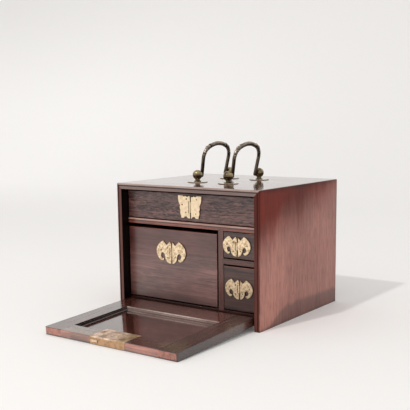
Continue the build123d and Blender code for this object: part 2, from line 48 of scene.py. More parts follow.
# Light: an even pale room and a small lamp in front, high up and a little to the left
WORLD_COLOUR = (1.0, 0.99, 0.98)
WORLD_STRENGTH = 0.78
KEY_PLACE = (-0.24, -1.36, 1.71)
KEY_SIZE = 0.09
KEY_POWER = 15.0
KEY_COLOUR = (1.0, 0.97, 0.93)

# Table with a backdrop that curves up behind it, in metres
TABLE_HALF_WIDTH = 4.0
TABLE_FRONT = -3.0
BACKDROP_START = 1.1
BACKDROP_RADIUS = 0.9
BACKDROP_HEIGHT = 3.0
BACKDROP_STEPS = 24
TABLE_COLOUR = (0.87, 0.86, 0.85)
TABLE_ROUGHNESS = 0.75

# Faint glow of the table and, from right to left, of the backdrop, with the share left above its heights
TABLE_GLOW_COLOUR = (1.0, 0.985, 0.975)
TABLE_GLOW = 0.05
BACKDROP_GLOW = (0.03, 0.16)
BACKDROP_GLOW_SPAN = (-0.3, -2.0)
BACKDROP_GLOW_DEPTH = (0.2, 1.2)
BACKDROP_GLOW_HEIGHT = (0.2, 0.9)
BACKDROP_GLOW_ABOVE = 0.2

# Small eased edges on the boards and on the shelves between the drawers
BOARD_BEVEL = 0.00035
SHELF_BEVEL = 0.0011
BEVEL_ANGLE = math.radians(50)
BEVEL_SEGMENTS = 2

# Noises along the grain of a wood: cycles per metre along and across it, detail, roughness and distortion
GRAIN = (12.0, 400.0, 5.0, 0.62, 0.35)
PORES = (60.0, 1500.0, 2.0, 0.5, 0.0)
STAINS = (13.0, 22.0, 5.0, 0.62, 0.6)
RUBS = (30.0, 190.0, 4.0, 0.6, 0.3)
KNOCKS = (150.0, 420.0, 1.0, 0.5, 0.0)

# Detail and roughness of a wood's broad figure
FIGURE_DETAIL = (4.0, 0.6)

# Detail, roughness and distortion of a metal's patches
PATCH_DETAIL = (5.0, 0.65, 0.2)

# Value that the noises vary about
NOISE_MIDDLE = 0.5

# Spans of the noises over which a look sets in
GRAIN_SPAN = (0.3, 0.7)
PORE_SPAN = (0.36, 0.46)
STAIN_SPAN = (0.36, 0.58)
GRIME_SPAN = (0.35, 0.62)
DIRT_SPAN = (0.38, 0.54)
ARRIS_RUB_SPAN = (0.34, 0.60)
FACE_RUB_SPAN = (0.34, 0.62)
BEAD_HIGHLIGHT_SPAN = (0.30, 0.60)
KNOCK_SPAN = (0.76, 0.80)
PATCH_SPAN = (0.36, 0.56)
RIM_PATCH_SPAN = (0.34, 0.54)

# How strongly such a look sets in, at the start and end of its span or at most
GRIME_LEAST = 0.5
FRONT_TONE_SHARE = (0.65, 0.95)
FACE_RUB_SHARE = (0.45, 1.0)
BEAD_HIGHLIGHT_SHARE = (0.5, 1.0)
KNOCK_SHARE = 0.7
QUIRK_SHARE = 0.9
RIM_SHARE = 0.75

# How squarely a face looks along a direction, as a cosine, from where it doesn't count to where it does
FACING_SPAN = (0.80, 0.95)
BEAD_FACING = (0.15, 0.50)
CONTACT_SHADOW_FACING = (0.3, 0.7)
METAL_FACING = (0.25, 0.60)
UNDERSIDE_FACING = (0.75, -0.45)

# Rounded arrises, by the largest part of their direction, and edges, by how far rounding would turn them
ARRIS_SPAN = (0.995, 0.86)
EDGE_SPAN = (0.998, 0.80)
EDGE_SAMPLES = 6

# Reach of the grime along edges and of the dark rims of the fittings, in metres
GRIME_REACH = 0.004
SIDE_GRIME_REACH = 0.008
RIM_REACH = 0.0007

# Relief of pores and patches: its strength, and its depth in metres
WOOD_RELIEF = 0.12
METAL_RELIEF = 0.3
RELIEF_DEPTH = 0.0003

# Roughness that dark and light grain add to the gloss of a wood
GRAIN_ROUGHNESS = (0.14, 0.02)

# Finish of faces that have lost their polish: added roughness, and what is left of the coat
DULL_GLOSS = 0.25
DULL_COAT = 0.1

# Painted dark reflection, deep red and without coat, in the upper front corner of the sides: its rise per
# depth, then its heights and raggedness in metres
DARK_REFLECTION_SLOPE = 0.30
DARK_REFLECTION_SPAN = (0.064, 0.122)
DARK_REFLECTION_RAGGED = 0.04

# Index of refraction of the coat that gives the right side its haze, outside the corner of painted dark
# reflection
HAZE_IOR = 1.5

# Depths over which the sides darken away from their front edges, in metres
BACK_SPAN = (0.03, 0.08)

# Painted reflection of the floor's shadow along the foot of the sides, in metres: its height, the depths over
# which it rises, its raggedness and the heights about its limit over which it ends
REFLECTED_SHADOW_HEIGHT = 0.0185
REFLECTED_SHADOW_RISE = (0.010, 0.058)
REFLECTED_SHADOW_RAGGED = 0.01
REFLECTED_SHADOW_LIMIT = (0.004, -0.003)

# Fine groove beside the bead on the case's front edges, in metres: its distance from the outer face, its half
# width, where the bead begins outside it, and how far both reach behind the front face
QUIRK_SET = 0.0026
QUIRK_HALF_WIDTH = (0.0009, 0.0005)
BEAD_START = (0.0003, 0.0008)
MOULDING_DEPTH = (0.003, 0.002)

# Painted contact shadow along the lower arris of the fall front's free edge, in metres above the table
CONTACT_SHADOW_HEIGHTS = (0.0022, 0.0010)

# Heights, at rest, over which the free rail darkens towards its outer face, in metres, so that the paler tone
# of its painted reflection stays on its inner face
OUTER_FADE = (0.0065, 0.0025)

# Distances from the case's front over which the fall front's right stile darkens, a painted dimmer
# reflection, in metres
STILE_REFLECTION_FADE = (0.045, 0.110)

# Heights over which the left drawer's front darkens, in metres: painted shadow of the rail towards its head,
# and a painted dark reflection towards its foot
HEAD_SHADOW_FADE = (0.052, 0.086)
FOOT_REFLECTION_FADE = (0.029, 0.019)

# Stretch of the free edge, left of the lock, that stays dark without the pale rubbed tone, as a painted dark
# reflection: its length in metres, its limits as shares of half that length, and the share of bare wood
# inside and outside them
EDGE_REFLECTION_LENGTH = 0.030
EDGE_REFLECTION_LIMITS = (0.6, 1.2)
EDGE_REFLECTION_BARE = (0.35, 1.0)

# Stretch of the lock plate darkened as a painted dimmer reflection, in shares of its width
LOCK_DIM_REFLECTION = (0.58, 0.84)

# Woods: dark and light tone of the grain
CASE_TONES = ((0.385, 0.146, 0.108), (0.605, 0.249, 0.195))
PLAIN_TONES = ((0.150, 0.048, 0.032), (0.310, 0.112, 0.078))
TOP_TONES = ((0.060, 0.014, 0.009), (0.190, 0.060, 0.038))
RAIL_TONES = ((0.110, 0.022, 0.014), (0.400, 0.110, 0.070))
SHELF_TONES = ((0.050, 0.011, 0.008), (0.150, 0.036, 0.024))
BOTTOM_TONES = ((0.016, 0.005, 0.004), (0.060, 0.016, 0.012))
TOP_FRONT_TONES = ((0.010, 0.005, 0.005), (0.205, 0.066, 0.052))
LEFT_FRONT_TONES = ((0.152, 0.067, 0.058), (0.296, 0.134, 0.118))
SMALL_FRONT_TONES = ((0.014, 0.005, 0.004), (0.100, 0.033, 0.024))
DOOR_TONES = ((0.036, 0.012, 0.009), (0.140, 0.044, 0.031))
RIGHT_STILE_TONES = ((0.034, 0.014, 0.010), (0.112, 0.046, 0.033))
# The free rail's tones are paler for a painted reflection, which darkens away to the right and on its outer
# face
FREE_RAIL_TONES = ((0.120, 0.064, 0.038), (0.230, 0.120, 0.072))
FOOT_RAIL_TONES = ((0.060, 0.020, 0.013), (0.215, 0.070, 0.048))
INNER_TONES = ((0.100, 0.048, 0.026), (0.230, 0.120, 0.066))

# Woods: tones of front edges, beads, grooves, arrises and knocks; the bead tones and the pale arris tone are
# painted highlights, the groove tone is painted shade
LEFT_EDGE = (0.140, 0.064, 0.056)
RIGHT_EDGE = (0.075, 0.018, 0.014)
TOP_EDGE = (0.200, 0.130, 0.118)
BEAD_HIGHLIGHT = (0.40, 0.29, 0.25)
RAIL_BEAD_HIGHLIGHT = (0.47, 0.275, 0.225)
QUIRK_SHADOW_TONE = (0.036, 0.010, 0.007)
RUBBED = (0.515, 0.182, 0.123)
DARK_ARRIS = (0.060, 0.014, 0.010)
ARRIS_HIGHLIGHT = (0.80, 0.64, 0.56)
KNOCK_TONE = (0.62, 0.55, 0.50)

# Shares of red, green and blue that the stains of a mottled wood take away
MOTTLE_TINT = (0.85, 0.95, 1.0)

# Shades that tint the tones
WHITE = (1.0, 1.0, 1.0)
PORE_SHADE = (0.50, 0.44, 0.42)
DIRT_SHADE = (0.74, 0.66, 0.65)
GRIME_SHADE = (0.30, 0.26, 0.25)
# Painted dark reflection in the upper front corner of the right side
DARK_REFLECTION_SHADE = (0.38, 0.070, 0.02)
# Painted reflection of the floor's shadow along the foot of the sides
REFLECTED_SHADOW_SHADE = (0.53, 0.53, 0.55)
BACK_SHADE = (0.78, 0.735, 0.725)
# Painted shade and dimmer painted reflections over stretches of a wood
PAINTED_FADE_SHADE = (0.46, 0.24, 0.20)
# Painted contact shadow along the fall front's free edge
CONTACT_SHADOW_SHADE = (0.16, 0.14, 0.13)
# Near-black painted shade on faces hidden in recesses and under the top
PAINTED_SHADE_FACE_TONE = (0.012, 0.010, 0.009)
# Painted dimmer reflection on the right part of the lock plate
LOCK_DIM_REFLECTION_SHADE = (0.66, 0.61, 0.47)
# Painted shade on what looks down, with tarnish
UNDERSIDE_PATINA_AND_SHADE = (0.15, 0.125, 0.11)
RIM_PATCH_SHADE = (0.58, 0.55, 0.52)

# Metals: bright, worn and edge tones; on the pulls and the handle plates the edge tones are painted shade on
# their side faces
BRASS = (1.0, 0.81, 0.57)
BRASS_WORN = (0.84, 0.64, 0.42)
BAT_WORN = (0.54, 0.36, 0.19)
BRASS_EDGE = (0.16, 0.095, 0.045)
NAIL_BRASS = (0.46, 0.31, 0.17)
LOCK_BRASS = (0.95, 0.73, 0.58)
LOCK_WORN = (0.44, 0.30, 0.20)
LOCK_EDGE = (0.62, 0.40, 0.235)
BOLT_BRASS = (1.0, 0.74, 0.54)
BRONZE = (0.36, 0.29, 0.22)
BRONZE_DARK = (0.075, 0.058, 0.045)
POST_BRONZE = (0.50, 0.40, 0.24)
POST_DARK = (0.10, 0.072, 0.040)
# Pale tones of the twist, painted highlights on its ribs
TWIST_HIGHLIGHT = (1.0, 0.90, 0.78)
TWIST_HIGHLIGHT_DULL = (0.42, 0.35, 0.28)
PLATE_BRONZE = (0.62, 0.53, 0.42)
PLATE_WORN = (0.34, 0.27, 0.19)

# Look of a plain lacquered board, from which each wood says where it differs
PLAIN_WOOD = dict(
    gloss=0.2,  # roughness of the coat, and of the wood before its grain adds to it
    coat=0.8,  # weight of the coat
    ior=1.5,  # index of refraction of the surface
    figure=0.45,  # share of the broad figure beside the fine grain
    figure_turns=(7.0, 42.0),  # cycles per metre of the figure along and across the grain
    curl=0.9,  # how far the figure winds
    soft=0.165,  # how gently the figure's tones change
    mottle=0.4,  # depth of the stains
    rubbed=0.5,  # share of the finish that is lost on the arrises
    arris_tone=RUBBED,  # tone of the wood where the finish is lost
    worn_face=None,  # face that is rubbed bare
    kept=None,  # axis, start and end of a stretch of bare wood left dark as a painted reflection
    grime=0.5,  # depth of the dirt along the edges
    grime_reach=GRIME_REACH,  # how far that dirt spreads
    fades=(),  # axis, start and end of each stretch over which the wood darkens with painted shade and dimmer painted reflections
    front_tone=None,  # tone of the faces that look to the front
    dark_face=None,  # face in near-black painted shade, hidden in a recess or under the top
    dark_facing=FACING_SPAN,  # how squarely that face has to look its way
    old_finish=False,  # whether the side darkens to the back and has its painted dark reflection, painted reflected floor shadow and haze
    quirk=None,  # axis, outer edge and front of a moulded edge with a groove
    bead_tone=None,  # painted highlight on the bead outside that groove
    foot_line=False,  # whether the fall front's lower arris has a painted contact shadow
    knocked_face=None,  # face with small pale knocks in its finish
    polished_face=None,  # the only face that has kept its polish
    broken=0.0,  # share of the coat that the dark grain breaks through
)

# Arch of a bail: its corners across and above the pivots and their radii in metres, its lean, the steps round
# each corner, the radius of its wire, the distance between the bails and their pivots' height above the top
ARCH_CORNERS = ((-0.0244, -0.0012), (-0.0270, 0.0305), (0.0, 0.0394), (0.0270, 0.0305), (0.0244, -0.0012))
ARCH_RADII = (0.0145, 0.040, 0.0145)
ARCH_LEAN = math.radians(11.0)
ARCH_STEPS = 16
WIRE_RADIUS = 0.00215
BAIL_SPACING = 0.044
PIVOT_RISE = 0.0086

# Raised twist round the grip of a bail: its start and end as shares of the arch, its pitch and the radius of
# its strand in metres, then the steps in a turn and the sides of the strand
TWIST_SPAN = (0.22, 0.78)
TWIST_PITCH = 0.0031
TWIST_RADIUS = 0.00046
TWIST_STEPS = 18
TWIST_SIDES = 6

# Sockets of a mix node, by number because their names repeat: factor and two values, then the result
MIX_SOCKETS = {"FLOAT": ((0, 2, 3), 0), "RGBA": ((0, 6, 7), 2)}


# CAD frame
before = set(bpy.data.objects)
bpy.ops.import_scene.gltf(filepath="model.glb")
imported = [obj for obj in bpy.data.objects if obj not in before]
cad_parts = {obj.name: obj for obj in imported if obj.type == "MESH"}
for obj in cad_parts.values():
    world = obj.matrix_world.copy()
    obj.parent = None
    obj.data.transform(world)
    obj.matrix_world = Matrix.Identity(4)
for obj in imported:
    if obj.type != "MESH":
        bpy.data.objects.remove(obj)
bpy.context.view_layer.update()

# Boxes of pieces, which looks are placed by
case_low, case_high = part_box("case_right_side")
rail_low, rail_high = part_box("drawer_rail")
lock_left, lock_right = (corner[X_AXIS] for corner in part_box("lock_plate"))


def feed(tree, value, target):
    """Links a socket to an input, or sets the input to a number or a tone."""
    if isinstance(value, bpy.types.NodeSocket):
        tree.links.new(value, target)
    elif target.type == "RGBA":
        target.default_value = (*value, 1.0)
    else:
        target.default_value = value


def node(tree, kind, **values):
    """Adds a shader node and sets its properties and input values by name."""
    made = tree.nodes.new(kind)
    for name, value in values.items():
        if name in made.inputs:
            made.inputs[name].default_value = value
        else:
            setattr(made, name, value)
    return made


def new_material(name):
    """An empty material with one principled shader."""
    made = bpy.data.materials.new(name)
    made.use_nodes = True
    return made, made.node_tree, made.node_tree.nodes["Principled BSDF"]


def ramp(tree, value, places, colours):
    """A colour ramp through colours at the given places."""
    made = tree.nodes.new("ShaderNodeValToRGB")
    elements = made.color_ramp.elements
    while len(elements) < len(places):
        elements.new(1.0)
    for element, place, colour in zip(elements, places, colours):
        element.position = place
        element.color = (*colour, 1.0)
    feed(tree, value, made.inputs["Fac"])
    return made.outputs["Color"]


def mixed(tree, factor, first, second, blend="MIX", kind="RGBA"):
    """Mixes two colours or numbers by a factor, each a socket or a fixed value."""
    made = node(tree, "ShaderNodeMix", data_type=kind, blend_type=blend)
    inputs, result = MIX_SOCKETS[kind]
    for place, value in zip(inputs, (factor, first, second)):
        feed(tree, value, made.inputs[place])
    return made.outputs[result]


def shaded(tree, share, tone, shade):
    """Tints a tone with a shade, by the given share."""
    return mixed(tree, share, tone, shade, blend="MULTIPLY")


def maths(tree, operation, first, second=0.0):
    """One sum on sockets or numbers."""
    made = node(tree, "ShaderNodeMath", operation=operation)
    for place, value in enumerate((first, second)):
        feed(tree, value, made.inputs[place])
    return made.outputs[0]


def times(tree, first, second):
    """The product of two sockets or numbers."""
    return maths(tree, "MULTIPLY", first, second)


def spread(tree, value, span, to=(0.0, 1.0)):
    """Maps a span of a value smoothly to another span."""
    made = node(tree, "ShaderNodeMapRange", interpolation_type="SMOOTHSTEP")
    feed(tree, value, made.inputs[0])
    for place, limit in enumerate((*span, *to), start=1):
        made.inputs[place].default_value = limit
    return made.outputs[0]


def stretched_noise(tree, axis, along, across, detail, roughness, distortion):
    """Noise drawn out along one axis of the part: cycles per metre along and across the grain."""
    source = tree.nodes.new("ShaderNodeTexCoord")
    scale = [across, across, across]
    scale[axis] = along
    mapping = node(tree, "ShaderNodeMapping", Scale=scale)
    feed(tree, source.outputs["Object"], mapping.inputs["Vector"])
    noise = node(tree, "ShaderNodeTexNoise", Scale=1.0, Detail=detail, Roughness=roughness,
                 Distortion=distortion)
    feed(tree, mapping.outputs["Vector"], noise.inputs["Vector"])
    return noise.outputs["Fac"]


def components(tree, coordinate):
    """The three components of one of a piece's own texture coordinates."""
    source = tree.nodes.new("ShaderNodeTexCoord")
    split = tree.nodes.new("ShaderNodeSeparateXYZ")
    feed(tree, source.outputs[coordinate], split.inputs[0])
    return list(split.outputs)


def part_place(tree):
    """The place of a point in the part's own frame, in metres."""
    return components(tree, "Object")


def part_normal(tree):
    """The direction of the surface in the part's own frame."""
    return components(tree, "Normal")


def facing(tree, face, span=FACING_SPAN):
    """1 where the surface looks in the direction of a face, 0 elsewhere."""
    axis, sign = face
    return spread(tree, times(tree, part_normal(tree)[axis], sign), span)


def arrises(tree):
    """1 on rounded arrises, 0 on the flat faces of a board."""
    x, y, z = (maths(tree, "ABSOLUTE", component) for component in part_normal(tree))
    return spread(tree, maths(tree, "MAXIMUM", maths(tree, "MAXIMUM", x, y), z), ARRIS_SPAN)


def near_edges(tree, reach):
    """1 at the sharp edges of a piece, falling to 0 at the given reach from them."""
    rounded = node(tree, "ShaderNodeBevel", samples=EDGE_SAMPLES, Radius=reach)
    surface = tree.nodes.new("ShaderNodeNewGeometry")
    agreement = node(tree, "ShaderNodeVectorMath", operation="DOT_PRODUCT")
    feed(tree, rounded.outputs["Normal"], agreement.inputs[0])
    feed(tree, surface.outputs["Normal"], agreement.inputs[1])
    return spread(tree, agreement.outputs["Value"], EDGE_SPAN)


def relief(tree, shader, height, strength):
    """Gives a shader's surface the relief of a pattern."""
    bump = node(tree, "ShaderNodeBump", Strength=strength, Distance=RELIEF_DEPTH)
    feed(tree, height, bump.inputs["Height"])
    feed(tree, bump.outputs["Normal"], shader.inputs["Normal"])


def depth_in(tree):
    """The depth behind the case's front, in metres."""
    return maths(tree, "SUBTRACT", part_place(tree)[Y_AXIS], case_low[Y_AXIS])


def ragged_height(tree, streaks, raggedness):
    """The height above the table, moved up and down by streaks, in metres."""
    wander = times(tree, maths(tree, "SUBTRACT", streaks, NOISE_MIDDLE), raggedness)
    return maths(tree, "ADD", part_place(tree)[Z_AXIS], wander)


def dark_reflection_corner(tree, streaks):
    """1 in the upper front corner of the case's sides, where a dark reflection is painted in deep red."""
    limit = times(tree, depth_in(tree), DARK_REFLECTION_SLOPE)
    height = ragged_height(tree, streaks, DARK_REFLECTION_RAGGED)
    return spread(tree, maths(tree, "SUBTRACT", height, limit), DARK_REFLECTION_SPAN)


def reflected_floor_shadow(tree, streaks):
    """1 along the foot of the case's sides, except at the front, where the reflection of the floor's shadow
    is painted.
    """
    limit = spread(tree, depth_in(tree), REFLECTED_SHADOW_RISE, (0.0, REFLECTED_SHADOW_HEIGHT))
    height = ragged_height(tree, streaks, REFLECTED_SHADOW_RAGGED)
    return spread(tree, maths(tree, "SUBTRACT", height, limit), REFLECTED_SHADOW_LIMIT)


def bead_and_quirk(tree, axis, edge, front):
    """1 on the bead along a front edge, and 1 in the fine groove beside it.

    edge is the distance of the outer edge from the part's origin along the axis, and front is the depth of
    the face.
    """
    place = part_place(tree)
    inward = maths(tree, "SUBTRACT", edge, maths(tree, "ABSOLUTE", place[axis]))
    face = spread(tree, place[Y_AXIS], [front + depth for depth in MOULDING_DEPTH])
    bead = spread(tree, inward, [QUIRK_SET - start for start in BEAD_START])
    off = maths(tree, "ABSOLUTE", maths(tree, "SUBTRACT", inward, QUIRK_SET))
    groove = spread(tree, off, QUIRK_HALF_WIDTH)
    return times(tree, bead, face), times(tree, groove, face)


def wood_noises(tree, look):
    """The patterns of one wood: broad and mixed figure, grain, pores, stains and rubbed patches."""
    broad = stretched_noise(tree, look.axis, *look.figure_turns, *FIGURE_DETAIL, look.curl)
    grain = stretched_noise(tree, look.axis, *GRAIN)
    return SimpleNamespace(
        broad=broad,
        grain=grain,
        figure=mixed(tree, look.figure, grain, broad, kind="FLOAT"),
        pores=stretched_noise(tree, look.axis, *PORES),
        stains=stretched_noise(tree, look.axis, *STAINS),
        rubs=stretched_noise(tree, look.axis, *RUBS),
    )


def figured(tree, look, noises):
    """The tone of the grain and its figure, with stains and open pores."""
    dark, light = look.tones
    middle = [(low + high) / 2 for low, high in zip(dark, light)]
    places = (NOISE_MIDDLE - look.soft, NOISE_MIDDLE, NOISE_MIDDLE + look.soft)
    tone = ramp(tree, noises.figure, places, (dark, middle, light))
    stain = [1.0 - look.mottle * tint for tint in MOTTLE_TINT]
    tone = shaded(tree, 1.0, tone, ramp(tree, noises.stains, STAIN_SPAN, (stain, WHITE)))
    return shaded(tree, 1.0, tone, ramp(tree, noises.pores, PORE_SPAN, (PORE_SHADE, WHITE)))


def old_finish(tree, noises, tone):
    """Darkens a side of the case to the back, and paints a dark reflection in its upper front corner and the
    reflected shadow of the floor along its foot.
    """
    tone = shaded(tree, spread(tree, depth_in(tree), BACK_SPAN), tone, BACK_SHADE)
    tone = shaded(tree, dark_reflection_corner(tree, noises.broad), tone, DARK_REFLECTION_SHADE)
    return shaded(tree, reflected_floor_shadow(tree, noises.broad), tone, REFLECTED_SHADOW_SHADE)


def grimy(tree, look, noises, tone):
    """Adds dirt along the edges."""
    depth = spread(tree, noises.stains, GRIME_SPAN, (look.grime, GRIME_LEAST * look.grime))
    return shaded(tree, times(tree, near_edges(tree, look.grime_reach), depth), tone, GRIME_SHADE)


def front_edges(tree, look, noises, tone):
    """Gives the faces that look to the front their own tone."""
    share = spread(tree, noises.grain, GRAIN_SPAN, FRONT_TONE_SHARE)
    return mixed(tree, times(tree, facing(tree, FRONT_FACE), share), tone, look.front_tone)


def bare_wood(tree, look, noises, tone):
    """Bares the wood on the arrises and on a worn face, except on a stretch left dark as a painted
    reflection.
    """
    bare = times(tree, arrises(tree), spread(tree, noises.rubs, ARRIS_RUB_SPAN, (0.0, look.rubbed)))
    if look.worn_face:
        share = spread(tree, noises.rubs, FACE_RUB_SPAN, FACE_RUB_SHARE)
        bare = maths(tree, "MAXIMUM", bare, times(tree, facing(tree, look.worn_face), share))
    if look.kept:
        axis, start, end = look.kept
        off = maths(tree, "ABSOLUTE", maths(tree, "SUBTRACT", part_place(tree)[axis], (start + end) / 2))
        limits = [share * abs(end - start) / 2 for share in EDGE_REFLECTION_LIMITS]
        bare = times(tree, bare, spread(tree, off, limits, EDGE_REFLECTION_BARE))
    dirty = shaded(tree, 1.0, ramp(tree, noises.stains, DIRT_SPAN, (DIRT_SHADE, WHITE)), look.arris_tone)
    return mixed(tree, bare, tone, dirty)


def foot_line(tree, tone):
    """Paints a contact shadow along the lower arris of the fall front's free edge."""
    low = spread(tree, part_place(tree)[Z_AXIS], CONTACT_SHADOW_HEIGHTS)
    return shaded(tree, times(tree, facing(tree, FRONT_FACE, CONTACT_SHADOW_FACING), low), tone, CONTACT_SHADOW_SHADE)


def moulded(tree, look, noises, tone):
    """Paints shade into the groove of a moulded edge, and a highlight on the bead beside it where it has one.
    """
    bead, groove = bead_and_quirk(tree, *look.quirk)
    if look.bead_tone:
        share = spread(tree, noises.rubs, BEAD_HIGHLIGHT_SPAN, BEAD_HIGHLIGHT_SHARE)
        tone = mixed(tree, times(tree, bead, share), tone, look.bead_tone)
    return mixed(tree, times(tree, groove, QUIRK_SHARE), tone, QUIRK_SHADOW_TONE)


def knocked(tree, look, tone):
    """Scatters small pale knocks over one face."""
    knocks = spread(tree, stretched_noise(tree, look.axis, *KNOCKS), KNOCK_SPAN, (0.0, KNOCK_SHARE))
    return mixed(tree, times(tree, knocks, facing(tree, look.knocked_face)), tone, KNOCK_TONE)


def wood_tone(tree, look, noises):
    """The colour of a wood, from its grain to what age has left on it, with painted shade, shadow, highlights
    and reflections.
    """
    tone = figured(tree, look, noises)
    if look.old_finish:
        tone = old_finish(tree, noises, tone)
    if look.grime:
        tone = grimy(tree, look, noises, tone)
    # Painted shade and dimmer painted reflections over stretches of the wood
    for axis, start, end in look.fades:
        tone = shaded(tree, spread(tree, part_place(tree)[axis], (start, end)), tone, PAINTED_FADE_SHADE)
    if look.front_tone:
        tone = front_edges(tree, look, noises, tone)
    tone = bare_wood(tree, look, noises, tone)
    if look.foot_line:
        tone = foot_line(tree, tone)
    if look.quirk:
        tone = moulded(tree, look, noises, tone)
    if look.knocked_face:
        tone = knocked(tree, look, tone)
    # Paints near-black shade on a face hidden in a recess
    if look.dark_face:
        tone = shaded(tree, facing(tree, look.dark_face, look.dark_facing), tone, PAINTED_SHADE_FACE_TONE)
    return tone


def wood_roughness(tree, look, noises):
    """The roughness of a wood, which its grain varies and lost polish adds to."""
    rough = spread(tree, noises.grain, GRAIN_SPAN, [look.gloss + added for added in GRAIN_ROUGHNESS])
    if look.polished_face:
        lost = spread(tree, facing(tree, look.polished_face), (0.0, 1.0), (DULL_GLOSS, 0.0))
        rough = maths(tree, "ADD", rough, lost)
    return rough


def coat_weight(tree, look, noises):
    """The weight of a wood's coat: even, or hazy and left off a painted dark reflection, or full only on one
    face, or broken by the dark grain.
    """
    if look.old_finish:
        haze = spread(tree, facing(tree, FRONT_FACE), (0.0, 1.0), (look.coat, 0.0))
        return times(tree, haze, maths(tree, "SUBTRACT", 1.0, dark_reflection_corner(tree, noises.broad)))
    if look.polished_face:
        return spread(tree, facing(tree, look.polished_face), (0.0, 1.0), (DULL_COAT, look.coat))
    if look.broken:
        span = (NOISE_MIDDLE - look.soft, NOISE_MIDDLE + look.soft)
        return spread(tree, noises.figure, span, (look.coat * (1 - look.broken), look.coat))
    return look.coat


def wood(name, tones, axis, **changes):
    """Lacquered hardwood with its grain along an axis, changed from the plain look."""
    look = SimpleNamespace(**{**PLAIN_WOOD, **changes}, tones=tones, axis=axis)
    made, tree, shader = new_material(name)
    noises = wood_noises(tree, look)
    feed(tree, wood_tone(tree, look, noises), shader.inputs["Base Color"])
    feed(tree, wood_roughness(tree, look, noises), shader.inputs["Roughness"])
    feed(tree, coat_weight(tree, look, noises), shader.inputs["Coat Weight"])
    relief(tree, shader, noises.pores, WOOD_RELIEF)
    shader.inputs["IOR"].default_value = look.ior
    shader.inputs["Coat Roughness"].default_value = look.gloss
    shader.inputs["Coat IOR"].default_value = HAZE_IOR if look.old_finish else look.ior
    return made


def metal(name, bright, worn, roughness, patch_scale, edge=None, face=None, underside_shade_and_patina=False, stain=None):
    """Worn metal: bright where it is handled, dull in patches, with another tone off its main face.

    patch_scale is in cycles per metre. edge is the tone of all that doesn't look the face's way, which on the
    pulls and the handle plates is painted shade. underside_shade_and_patina darkens what looks down, painted
    shade with tarnish, and stain is a span of the width darkened as a painted dimmer reflection.
    """
    made, tree, shader = new_material(name)
    patches = stretched_noise(tree, X_AXIS, patch_scale, patch_scale, *PATCH_DETAIL)
    tone = ramp(tree, patches, PATCH_SPAN, (worn, bright))
    # Darkens what looks down: painted shade, with tarnish
    if underside_shade_and_patina:
        tone = shaded(tree, spread(tree, part_normal(tree)[Z_AXIS], UNDERSIDE_FACING), tone, UNDERSIDE_PATINA_AND_SHADE)
    # Darkens a span of the width as a painted dimmer reflection
    if stain:
        tone = shaded(tree, spread(tree, part_place(tree)[X_AXIS], stain), tone, LOCK_DIM_REFLECTION_SHADE)
    # The edge tone: painted shade on the side faces of the pulls and handle plates, the copper edge strip on
    # the lock
    if edge:
        patchy = ramp(tree, patches, RIM_PATCH_SPAN, (RIM_PATCH_SHADE, WHITE))
        rim = shaded(tree, 1.0, patchy, edge)
        tone = mixed(tree, times(tree, near_edges(tree, RIM_REACH), RIM_SHARE), tone, rim)
        tone = mixed(tree, facing(tree, face, METAL_FACING), rim, tone)
    feed(tree, tone, shader.inputs["Base Color"])
    relief(tree, shader, patches, METAL_RELIEF)
    shader.inputs["Metallic"].default_value = 1.0
    shader.inputs["Roughness"].default_value = roughness
    return made


def pale_floor(name):
    """A matt pale floor and backdrop, a little brighter to the eye and in reflections towards the back."""
    made, tree, shader = new_material(name)
    path = tree.nodes.new("ShaderNodeLightPath")
    seen = maths(tree, "MAXIMUM", path.outputs["Is Camera Ray"], path.outputs["Is Glossy Ray"])
    seen = maths(tree, "MAXIMUM", seen, path.outputs["Is Transmission Ray"])
    x, y, z = part_place(tree)
    across = spread(tree, x, BACKDROP_GLOW_SPAN, BACKDROP_GLOW)
    far = times(tree, spread(tree, y, BACKDROP_GLOW_DEPTH), across)
    far = times(tree, far, spread(tree, z, BACKDROP_GLOW_HEIGHT, (1.0, BACKDROP_GLOW_ABOVE)))
    glow = times(tree, seen, maths(tree, "ADD", far, TABLE_GLOW))
    feed(tree, glow, shader.inputs["Emission Strength"])
    feed(tree, TABLE_GLOW_COLOUR, shader.inputs["Emission Color"])
    feed(tree, TABLE_COLOUR, shader.inputs["Base Color"])
    shader.inputs["Roughness"].default_value = TABLE_ROUGHNESS
    return made


def smooth_mesh(name, points, faces, material):
    """A smoothly shaded mesh object in the scene."""
    mesh = bpy.data.meshes.new(name)
    mesh.from_pydata(points, [], faces)
    mesh.materials.append(material)
    for face in mesh.polygons:
        face.use_smooth = True
    made = bpy.data.objects.new(name, mesh)
    bpy.context.collection.objects.link(made)
    return made


def arch_points():
    """Points along the middle of a bail's wire, across and above its pivots."""
    points = [Vector(ARCH_CORNERS[0])]
    bends = zip(ARCH_CORNERS, ARCH_CORNERS[1:], ARCH_CORNERS[2:], ARCH_RADII)
    for before, corner, after, radius in bends:
        corner = Vector(corner)
        back = (Vector(before) - corner).normalized()
        on = (Vector(after) - corner).normalized()
        half = back.angle(on) / 2
        middle = corner + (back + on).normalized() * radius / math.sin(half)
        start = corner + back * radius / math.tan(half)
        end = corner + on * radius / math.tan(half)
        for step in range(ARCH_STEPS + 1):
            along = (start - middle).lerp(end - middle, step / ARCH_STEPS)
            points.append(middle + along.normalized() * radius)
    return points + [Vector(ARCH_CORNERS[-1])]


def lengths_along(points):
    """The length along a line at each of its points."""
    lengths = [0.0]
    for first, second in zip(points, points[1:]):
        lengths.append(lengths[-1] + (second - first).length)
    return lengths


def along_arch(points, lengths, place):
    """The point and direction at a length along a line of points."""
    piece = max(i for i, length in enumerate(lengths[:-1]) if length <= place)
    step = points[piece + 1] - points[piece]
    return points[piece] + step * (place - lengths[piece]) / step.length, step.normalized()


